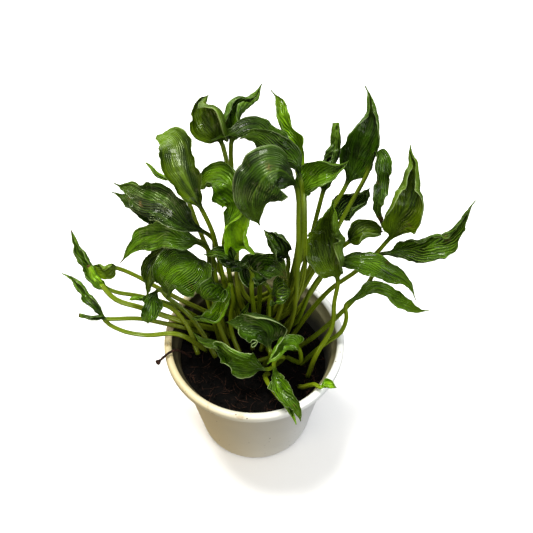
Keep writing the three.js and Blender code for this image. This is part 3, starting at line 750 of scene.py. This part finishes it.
# %% Traits of the top and middle leaves
traits.update({
    "top_point": dict(ribs=0.8, lit=0.7, buckle=1.5, left=(30, 160, 200), right=(30, 120, 160),
        wide=(1.7, 1.6), point=0.6),
    "top_left_cup": dict(ribs=0.4, left=(10, 60, 110), right=(30, 110, 150), wide=(1.2, 1.9),
        twist=(0, 0, 0)),
    "top_arch_front": dict(brown=0.6, brown_from=0.95, ribs=0.6, lit=0.3, left=(0, -60, 40),
        right=(0, 50, 80), wide=(1.0, 1.0)),
    "top_arch_back": dict(ribs=0.7, lit=0.25, left=(0, -50, 30), right=(0, 60, 60), wide=(0.95, 0.95),
        point=0.9),
    "top_right_slender": dict(ribs=0.9, lit=0.9, left=(0, 180, -90), right=(140, -60, 160),
        twist=(0, 80, -80), glow=0.9, point=0.8),
    "big_centre": dict(ribs=0.3, lit=0.15, ruffle=0.5, wide=(1.15, 1.1), left=(0, 40, 50),
        right=(0, 30, 40), twist=(0, 0, 0), pleat=0.6, sway=0.6),
    "centre_curled": dict(ribs=0.5, lit=0.7, left=(30, 100, 140), right=(20, 120, 150), wide=(1.5, 1.5),
        glow=1.0),
    "centre_bright": dict(ribs=0.25, lit=1.1, left=(20, 60, 130), right=(20, 50, 110), wide=(1.7, 1.7),
        glow=1.0),
    "centre_ribbon": dict(ruffle=2.2, ribs=1.0, buckle=2.0, lit=0.2, wide=(1.9, 1.9),
        left=(20, 110, 140), right=(20, 90, 120)),
    "centre_round": dict(ruffle=2.0, pale=0.9, brown=0.4, brown_from=0.8, wide=(1.7, 1.7), lit=0.35,
        ribs=0.5),
    "centre_ribbed": dict(ribs=1.4, lit=0.4, wide=(1.8, 1.8)),
    "centre_crinkled": dict(buckle=2.4, ribs=1.0, lit=0.3, wide=(1.8, 1.8)),
})
print("leaves with traits:", len(traits))

# %% Traits of the front leaves
traits.update({
    "grey_curl": dict(ribs=1.1, lit=0.6, pale=0.8, wide=(1.6, 1.6)),
    "pale_lip": dict(ribs=0.8, lit=0.7, pale=1.0, left=(60, 160, 200), right=(30, 90, 160),
        wide=(1.1, 1.1)),
    "front_left": dict(ribs=0.6, pale=0.9, ruffle=2.0, left=(20, 160, 240), right=(0, -130, 210),
        wide=(1.15, 1.05), twist=(0, 80, 100), sway=2.0, pleat=1.5),
    "front_over_rim": dict(buckle=2.0, pale=1.0, lit=0.4, brown=0.7, brown_from=0.97, left=(10, 40, 20),
        right=(10, 50, 20), point=0.7, twist=(0, 0, 0), wide=(1.35, 1.35), ribs=0.6),
    "pale_cup": dict(pale=1.0, lit=0.8, left=(20, 130, 170), right=(20, 90, 130), ribs=0.3, ruffle=1.5),
    "centre_fan": dict(pale=1.0, lit=0.4, ruffle=2.0, ribs=0.3, left=(20, 170, 150),
        right=(10, 130, 140), sway=1.8),
})
print("leaves with traits:", len(traits))

# %% Traits of the right-hand leaves
traits.update({
    "right_long_stalk": dict(buckle=1.8, ribs=0.5, glow=1.0, left=(0, 30, 30), right=(20, 150, 150),
        twist=(0, 0, 0), point=0.8),
    "right_arch": dict(ribs=0.9, lit=0.55, left=(0, -40, -60), right=(10, 60, 60), wide=(0.8, 0.85),
        point=0.6, twist=(0, 0, 0)),
    "right_loop": dict(ribs=0.8, lit=1.0, glow=1.0, wide=(1.1, 1.05), left=(0, -80, 90),
        right=(20, 110, -80)),
    "far_right": dict(ribs=1.5, lit=0.55, ruffle=1.2, buckle=1.6, wide=(1.35, 1.3), left=(20, 180, 150),
        right=(0, -120, 150), point=0.9, pleat=2.0),
    "right_vase": dict(ribs=0.4, pale=0.6, left=(10, 60, 170), right=(10, 70, 150), wide=(1.3, 1.3),
        twist=(0, 0, 0), point=0.7),
    "right_drooping": dict(brown=1.0, brown_from=0.84, ribs=0.6, lit=0.45, left=(20, 150, 120),
        right=(20, 170, 120), wide=(1.05, 1.05), glow=0.2),
    "right_olive_back": dict(brown=0.7, brown_from=0.85),
    "right_tall": dict(ribs=0.35, lit=0.35, left=(0, 40, 200), right=(10, 60, 180), wide=(1.1, 1.1),
        point=0.9, twist=(0, 0, 0), sway=0.5),
    "right_upright": dict(ribs=0.9, buckle=1.2, lit=0.25, wide=(2.1, 2.1), left=(40, 120, 160),
        right=(40, 100, 160), point=0.0, glow=0.6, sway=0.3),
    "right_ribbed_back": dict(ribs=1.5, lit=0.6),
    "right_bright_wing": dict(ribs=0.8, lit=0.8, left=(0, 60, 120), right=(0, 40, 60), point=0.8),
    "right_over_rim": dict(lit=0.9, ribs=0.3, glow=0.9),
})
print("leaves with traits:", len(traits))

# %% [markdown]
# ## The shape of a leaf
# A leaf is worked out row by row. Its route comes first: where the midrib runs, which way each row
# faces, how wide it is and how far the plain solid curls it already. A curled ring is treated as
# an arc: its length is the true width of the blade, and its angle is the curl.

# %% Route of a leaf
STALK_ROWS = 22
BLADE_ROWS = 92
SWAY = 0.0022


def route(rings, look, luck):
    """The line, the directions, the width and the curl of a leaf at every row."""
    across = np.stack([rings[:, 0], (rings[:, 1] + rings[:, 7]) / 2, (rings[:, 2] + rings[:, 6]) / 2,
                       (rings[:, 3] + rings[:, 5]) / 2, rings[:, 4]], axis=1)
    midrib = across[:, 2]
    places = np.concatenate([[0], np.cumsum(np.linalg.norm(np.diff(midrib, axis=0), axis=1))])
    foot, opened_at, tip = places[4], places[6], places[-1]
    where = np.concatenate([np.linspace(0, foot, STALK_ROWS, endpoint=False),
                            np.linspace(foot, tip, BLADE_ROWS)])
    along = (where - foot) / (tip - foot)

    chord = across[:, 4] - across[:, 0]
    half_chord = np.linalg.norm(chord, axis=1) / 2
    lift = unit(np.cross(chord, unit(np.gradient(midrib, axis=0))))
    sag = (((across[:, 0] + across[:, 4]) / 2 - midrib) * lift).sum(axis=1)
    curl = 2 * np.arctan2(sag, half_chord)
    half = half_chord * np.where(np.abs(curl) < 0.05, 1.0, curl / np.sin(curl + 1e-9))
    half_width, row_curl = through(np.stack([half, curl], axis=1), places, where).T

    side, lift = through(unit(chord), places, where), through(lift, places, where)
    wander = (ease(along, 0.02, 0.3) * look["sway"] * SWAY)[:, None]
    spine = through(midrib, places, where) + (
        side * waves(luck, where, (0.062, 0.034))[:, None]
        + lift * waves(luck, where, (0.048, 0.026))[:, None]) * wander
    ahead = unit(np.gradient(spine, axis=0))
    lift = unit(np.cross(side, ahead))
    return SimpleNamespace(
        where=where, along=along, opened=ease(where, foot, opened_at)[:, None], foot=foot,
        spine=spine, side=np.cross(ahead, lift), lift=lift, half_width=half_width, curl=row_curl,
        reach=half.max(), stalk_radius=np.linalg.norm(rings[1, 4] - rings[1, 0]) / 2,
    )


print("rows of a leaf:", STALK_ROWS + BLADE_ROWS)

# %% [markdown]
# Each half of the blade is then walked from the midrib to its margin in small steps, turning a
# little at each. A steady turn gives a trough, a turn that grows gives a rolled edge, and small
# bites in the width make the outline uneven.

# %% Rolled halves
FACE_STEPS = 26
RIB_COLUMN = FACE_STEPS // 2
even = np.linspace(-1, 1, FACE_STEPS + 1)
ACROSS = 0.62 * even + 0.38 * np.sin(even * math.pi / 2)  # closer together near the margins


def spread(values, along):
    """Values at even steps from the blade's foot to its tip, read at every row."""
    return np.interp(np.clip(along, 0, 1), np.linspace(0, 1, len(values)), values)


def rolled_halves(leaf, look, luck):
    """The bare sheet of the blade, (rows, columns, 3)."""
    along, s = leaf.along, leaf.where[:, None]
    turn = (np.radians(spread(look["twist"], along)) * leaf.opened[:, 0])[:, None]
    side = leaf.side * np.cos(turn) + leaf.lift * np.sin(turn)
    lift = leaf.lift * np.cos(turn) - leaf.side * np.sin(turn)
    taper = (1 - 0.55 * look["point"] * ease(along, 0.62, 0.97)) * (0.6 + 0.4 * ease(along, 0.02, 0.4))
    taper = taper * (1 - 0.8 * min(look["point"] * 2, 1) * ease(along, 0.88, 1.0))
    out_from_rib = ACROSS[RIB_COLUMN:]
    stops = (out_from_rib[1:] + out_from_rib[:-1]) / 2
    halves = []
    for name, way, wide in (("left", -1, look["wide"][0]), ("right", 1, look["wide"][1])):
        roll = np.radians(spread(look[name], along))[:, None] * (1 + 0.35 * waves(luck, s, (0.031, 0.017)))
        angle = leaf.curl[:, None] * stops + roll * stops ** look["sharp"]
        step = np.diff(out_from_rib) * (leaf.half_width * wide * taper)[:, None]
        run = np.cumsum(np.cos(angle) * step, axis=1) * way
        rise = np.cumsum(np.sin(angle) * step, axis=1)
        ragged = waves(luck, s, (0.027, 0.012, 0.0061)) * 0.045 * look["ruffle"] + 0.02
        bite = 1 - ragged * leaf.opened
        halves.append((run[..., None] * side[:, None] + rise[..., None] * lift[:, None]) * bite[..., None])
    midrib = np.zeros((len(s), 1, 3))
    return leaf.spine[:, None] + np.concatenate([halves[0][:, ::-1], midrib, halves[1]], axis=1)


print("columns across a blade:", len(ACROSS))

# %% [markdown]
# A wilted blade is never smooth. The sheet is pushed out by four waves: a ruffle that grows
# towards the margins, a crease across the face, soft folds that run with the veins, and a fine
# crimp at the very edge. All fade where the blade is narrow.

# %% Wilting
RUFFLE, CREASE, PLEAT, CRIMP = 0.0017, 0.0006, 0.0007, 0.00015
PLEAT_SPACING = 0.0075


def facing(sheet):
    """The way that a sheet faces at each of its points."""
    return unit(np.cross(np.gradient(sheet, axis=1), np.gradient(sheet, axis=0)))


def wilted(sheet, leaf, look, luck):
    """The sheet with its ruffle, creases and folds."""
    u, s = ACROSS[None, :], leaf.where[:, None]
    edge = np.abs(u) ** 2.4
    room = np.minimum(1, leaf.half_width / 0.006)[:, None]
    left, right = (waves(luck, s, (0.026, 0.014, 0.0085)) for _ in range(2))
    ruffle = np.where(u < 0, left, right) * edge * RUFFLE * look["ruffle"]
    crease = waves(luck, s + 0.004 * u, (0.017, 0.009, 0.0051)) * np.cos(u * 2.2 + luck.rand() * 2)
    fold = (leaf.reach * np.abs(u) - 0.2 * (s - leaf.foot)) / PLEAT_SPACING
    pleat = np.cos(math.tau * (fold + waves(luck, s, (0.05, 0.027)) * 0.35))
    pleat = pleat * (1 - edge * 0.5) * np.abs(u) ** 0.5
    bend = ruffle + crease * CREASE * look["buckle"] + pleat * PLEAT * look["pleat"]
    crimp = np.cos(math.tau * (s / 0.0042 + 1.5 * np.abs(u))) * edge * CRIMP * look["buckle"]
    return sheet + facing(sheet) * ((bend + crimp) * leaf.opened * room)[..., None]


print("wilting ready")

# %% [markdown]
# The sheet becomes a solid blade when its upper and lower faces are set off from it, thickest in
# the middle, with the midrib sunk above and raised below. Towards the foot both faces give way to
# the two halves of a round stalk with a groove along its top.

# %% Faces and stalk
HALF_THICK = 0.00028
RIB_WIDTH, RIB_SUNK, RIB_RAISED = 0.0013, 0.00025, 0.0008
GROOVE = 0.0006


def two_faces(sheet, leaf):
    u = ACROSS[None, :]
    rib = np.exp(-((u * leaf.half_width[:, None]) / RIB_WIDTH) ** 2)
    rib = rib * (1 - 0.8 * ease(leaf.along, 0.1, 1.0)[:, None])
    thick = HALF_THICK * np.sqrt(np.clip(1 - u * u, 0, 1))
    out = facing(sheet)
    not_margin = u * u < 0.999
    return (sheet + out * (thick - RIB_SUNK * rib)[..., None],
            sheet - out * (thick + RIB_RAISED * rib * not_margin)[..., None])


def with_stalk(upper, lower, leaf):
    radius = (leaf.stalk_radius * (1.04 - 0.2 * ease(leaf.where, 0, leaf.foot)))[:, None]
    spine, side, lift = leaf.spine[:, None], leaf.side[:, None], leaf.lift[:, None]
    arch = radius * np.cos(ACROSS * math.pi / 2)
    sideways = (radius * np.sin(ACROSS * math.pi / 2))[..., None] * side
    groove = GROOVE * np.exp(-(ACROSS / 0.2) ** 2)
    stalk_top = spine + sideways + (arch - groove)[..., None] * lift
    stalk_under = spine + sideways - arch[..., None] * lift
    share = leaf.opened[..., None]
    return upper * share + stalk_top * (1 - share), lower * share + stalk_under * (1 - share)


print("blade is", round(HALF_THICK * 2000, 2), "mm thick")

# %% [markdown]
# A material can't know where on a leaf it is, so every point is told: how far across and along
# the blade it lies, which face it is on, the phase of the side veins, how brown and pale it is, and
# the leaf's own tone. The mesh carries these labels as three named attributes.

# %% Labels on a leaf
RIB_SPACING = 0.0021
SPOT_LENGTH, SPOT_WIDTH = 0.025, 0.16


def leaf_labels(leaf, look, luck):
    across = np.concatenate([ACROSS, ACROSS[-2:0:-1]])[None, :]
    face_side = np.concatenate([np.ones(FACE_STEPS + 1), -np.ones(FACE_STEPS - 1)])
    face_side[[0, FACE_STEPS]] = 0
    s, along = leaf.where[:, None], leaf.along[:, None]
    veins = (1.1 * leaf.reach * np.abs(across) ** 1.1 - 0.2 * (s - leaf.foot)) / RIB_SPACING
    dead_from = look["brown_from"]
    brown = ease(along, dead_from, min(dead_from + 0.09, 1.0)) * look["brown"] * np.ones(veins.shape)
    for chance_place in luck.rand(3)[:2]:
        spot_along, spot_across = 0.25 + 0.6 * chance_place, luck.uniform(-0.8, 0.8)
        far = ((along - spot_along) / SPOT_LENGTH) ** 2 + ((across - spot_across) / SPOT_WIDTH) ** 2
        brown = np.maximum(brown, 0.55 * np.exp(-far) * (luck.rand() < 0.4))

    def stack(*values):
        return np.stack([np.broadcast_to(value, veins.shape) for value in values], axis=-1)

    return {
        "leaf_place": stack(across, along, face_side),
        "leaf_marks": stack(veins, brown, look["pale"]),
        "leaf_tone": stack(look["lit"], look["ribs"], look["glow"]),
    }


def grown(rings, look, luck):
    """A fine leaf from its plain rings: its sections (rows, around, 3) and its labels."""
    leaf = route(rings, look, luck)
    sheet = wilted(rolled_halves(leaf, look, luck), leaf, look, luck)
    upper, lower = with_stalk(*two_faces(sheet, leaf), leaf)
    return np.concatenate([upper, lower[:, -2:0:-1]], axis=1), leaf_labels(leaf, look, luck)


print("points round a leaf:", 2 * FACE_STEPS)

# %% [markdown]
# ## Leaf skin
# The skin is shared by four tones of leaf, so its pattern is a node group. It reads the labels and gives
# out a colour, a roughness and a height. The upper face is deep green and waxy, the underside paler and
# duller, the margins are thin and pale with a painted highlight, and the stalk is yellow-green.

# %% Leaf skin group
skin = bpy.data.node_groups.new("leaf_skin", "ShaderNodeTree")
for name in ("Deep", "Light", "Stalk"):
    skin.interface.new_socket(name, in_out="INPUT", socket_type="NodeSocketColor")
for name, kind in (("Color", "Color"), ("Roughness", "Float"), ("Height", "Float")):
    skin.interface.new_socket(name, in_out="OUTPUT", socket_type="NodeSocket" + kind)
given, result = skin.nodes.new("NodeGroupInput"), skin.nodes.new("NodeGroupOutput")
deep, light, stalk_green = (given.outputs[name] for name in ("Deep", "Light", "Stalk"))


def label(name):
    """The three numbers that each point carries under a name."""
    return put(skin, "SeparateXYZ", put(skin, "Attribute", attribute_name=name).outputs["Vector"]).outputs


across, along, face_side = label("leaf_place")
vein, brown, pale = label("leaf_marks")
lit, ribs, glow = label("leaf_tone")
print("skin group:", len(skin.nodes), "nodes")

# %% [markdown]
# The veins are a cosine of their phase, pushed about by noise so that they wander, and they are
# strong in some patches and faint in others.

# %% Masks on a leaf
off_centre = calc(skin, "ABSOLUTE", across)
wandering = plus(skin, vein, times(skin, grain(skin, 95.0, 2.0), 1.1))
wave = calc(skin, "COSINE", times(skin, wandering, math.tau))
on_blade = soft_step(skin, along, 0.0, 0.14)
under = soft_step(skin, face_side, 0.2, -0.6)
patchy = soft_step(skin, grain(skin, 70.0), 0.36, 0.62)
strength = times(skin, patchy, on_blade, ribs)
# The crests carry a painted highlight and the troughs painted shade.
crest_highlight = times(skin, soft_step(skin, wave, -0.2, 1.0), strength)
trough_shade = times(skin, soft_step(skin, wave, 0.2, -0.9), strength)
broad_cloud = grain(skin, 42.0)
fine_cloud = grain(skin, 420.0, 4.0, 0.65)
print("masks:", len(skin.nodes), "nodes")

# %% [markdown]
# Clouds and streaks along the blade choose between its deep and its light green. Painted shade in the
# troughs of the veins and a painted highlight with a lighter vein colour on their crests, the underside,
# the midrib, dust, the dry margin with its painted highlight, and the tip, yellow-green with painted light
# glowing through it, come on top.

# %% Greens of the blade
# The vein green is a lighter vein colour with a painted highlight.
VEIN_HIGHLIGHT_GREEN, UNDER_GREEN, MIDRIB_GREEN = rgb(128, 164, 60), rgb(80, 108, 34), rgb(104, 134, 36)
# The dry margin colour also carries a painted highlight along the curled edge.
# The tip green is the tip's own yellow-green with painted light glowing through it.
DUST, DRY_MARGIN_AND_HIGHLIGHT, TIP_GLOW_GREEN = rgb(168, 184, 150), rgb(178, 196, 140), rgb(112, 146, 24)

stretched = [times(skin, value, by) for value, by in ((across, 4.5), (along, 2.2), (lit, 37.0))]
lengthwise = put(skin, "CombineXYZ", *stretched).outputs[0]
streaks = put(skin, "TexNoise", lengthwise, None, 1.0, 4.0, 0.6).outputs[0]
uneven = plus(skin, times(skin, broad_cloud, 1.3), times(skin, streaks, 2.0))
lightness = calc(skin, "ADD", calc(skin, "SUBTRACT", uneven, 1.62), times(skin, lit, 0.85), use_clamp=True)
midrib = times(skin, soft_step(skin, off_centre, 0.05, 0.012), soft_step(skin, along, 1.0, 0.6))
margin = times(skin, soft_step(skin, off_centre, 0.93, 0.98), plus(skin, pale, 0.1))

green = blend(skin, lightness, deep, light)
# painted shade in the vein troughs, then a lighter vein colour with a painted highlight on the crests
green = blend(skin, calc(skin, "MULTIPLY", trough_shade, 0.55, use_clamp=True), green, deep)
green = blend(skin, calc(skin, "MULTIPLY", crest_highlight, 0.4, use_clamp=True), green, VEIN_HIGHLIGHT_GREEN)
green = blend(skin, times(skin, under, 0.3), green, UNDER_GREEN)
green = blend(skin, times(skin, midrib, 0.3), green, MIDRIB_GREEN)
green = blend(skin, times(skin, soft_step(skin, fine_cloud, 0.58, 0.78), 0.28, pale), green, DUST)
# the dry, pale margin, with a painted highlight along its curled edge
green = blend(skin, times(skin, margin, 0.75), green, DRY_MARGIN_AND_HIGHLIGHT)
# a yellow-green tip with painted light glowing through it
green = blend(skin, times(skin, soft_step(skin, along, 0.62, 1.0), glow), green, TIP_GLOW_GREEN)
print("greens:", len(skin.nodes), "nodes")

# %% Stalk and brown tips
STALK_MOTTLE, STALK_FOOT = rgb(112, 130, 24), rgb(138, 146, 48)
ROT_DARK, ROT_LIGHT = rgb(44, 24, 16), rgb(150, 112, 70)

stem = blend(skin, soft_step(skin, broad_cloud, 0.35, 0.7), stalk_green, STALK_MOTTLE)
stem = blend(skin, times(skin, soft_step(skin, along, -0.6, -1.8), 0.5), stem, STALK_FOOT)
whole = blend(skin, on_blade, stem, green)
ragged_brown = plus(skin, fine_cloud, times(skin, brown, 0.5))
decay = times(skin, brown, soft_step(skin, ragged_brown, 0.45, 0.75))
rot = blend(skin, soft_step(skin, fine_cloud, 0.4, 0.65), ROT_DARK, ROT_LIGHT)
whole = blend(skin, decay, whole, rot)
print("whole colour:", len(skin.nodes), "nodes")

# %% [markdown]
# The waxy upper face has a cloudy gloss, the underside is duller and dead tissue duller still. The
# veins rise on one face and sink on the other, and fine pimples and threads cover both.

# %% Gloss and relief
wax = plus(skin, 0.20, times(skin, grain(skin, 150.0, 4.0), 0.2))
gloss = plus(skin, plus(skin, wax, times(skin, under, 0.16)), times(skin, decay, 0.3))
veins_up = times(skin, times(skin, wave, ribs), times(skin, on_blade, 0.5), face_side)
texture = plus(skin, times(skin, fine_cloud, 0.14), times(skin, grain(skin, 900.0), 0.05))
relief = plus(skin, veins_up, texture)
for socket, source in zip(result.inputs, (whole, gloss, relief)):
    join(skin, source, socket)
print("leaf skin:", len(skin.nodes), "nodes")

# %% Four tones of leaf
VEIN_RELIEF = 0.0011
tones = {
    "leaf_dark": (rgb(6, 22, 0), rgb(74, 112, 4), rgb(92, 110, 14)),
    "leaf_green": (rgb(12, 36, 0), rgb(106, 148, 14), rgb(100, 118, 18)),
    "leaf_bright": (rgb(40, 82, 0), rgb(148, 196, 16), rgb(122, 142, 22)),
    "leaf_olive": (rgb(22, 40, 0), rgb(108, 134, 4), rgb(104, 120, 14)),
}


def leaf_material(name, colors):
    """A Principled material fed by the shared skin, with the three greens of its own tone."""
    material = bpy.data.materials.new(name)
    material.use_nodes = True
    tree = material.node_tree
    shader = tree.nodes["Principled BSDF"]
    pattern = put(tree, "Group", node_tree=skin)
    for socket, color in zip(pattern.inputs, colors):
        socket.default_value = color
    bump = put(tree, "Bump", 1.0, VEIN_RELIEF)
    join(tree, pattern.outputs["Height"], bump.inputs["Height"])
    join(tree, pattern.outputs["Color"], shader.inputs["Base Color"])
    join(tree, pattern.outputs["Roughness"], shader.inputs["Roughness"])
    join(tree, bump.outputs[0], shader.inputs["Normal"])
    for socket, value in (("Specular IOR Level", 0.45), ("Specular Tint", (0.84, 1.0, 0.56, 1.0)),
                          ("Coat Weight", 0.16), ("Coat Roughness", 0.12)):
        shader.inputs[socket].default_value = value
    return material


leaf_skins = {slot: leaf_material(slot + "_skin", colors) for slot, colors in tones.items()}
print("tones:", ", ".join(leaf_skins))

# %% [markdown]
# The leaves are grown one after another. Each has its own seed, so that no two ruffle alike and
# every run gives the same plant.

# %% Grow the leaves
FIRST_SEED = 100
slot_of = {entry["node"]: entry["material_slot"] for entry in frame["record"]["subparts"]}
faces_made = 0
for number, name in enumerate(plain_leaves):
    look = {**everyday, **traits.get(name.removeprefix("leaf_"), {})}
    sections, notes = grown(rings_of(name), look, np.random.RandomState(FIRST_SEED + number))
    bm = bmesh.new()
    sleeve(bm, sections, {bm.verts.layers.float_vector.new(note): notes[note] for note in notes})
    bmesh.ops.recalc_face_normals(bm, faces=bm.faces)
    leaf = finished(bm, name.replace("leaf_", "blade_"), leaf_skins[slot_of[name]])
    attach(leaf, "root")
    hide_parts(name)
    faces_made += len(leaf.data.polygons)
print("leaves:", len(plain_leaves), "with", faces_made, "faces")
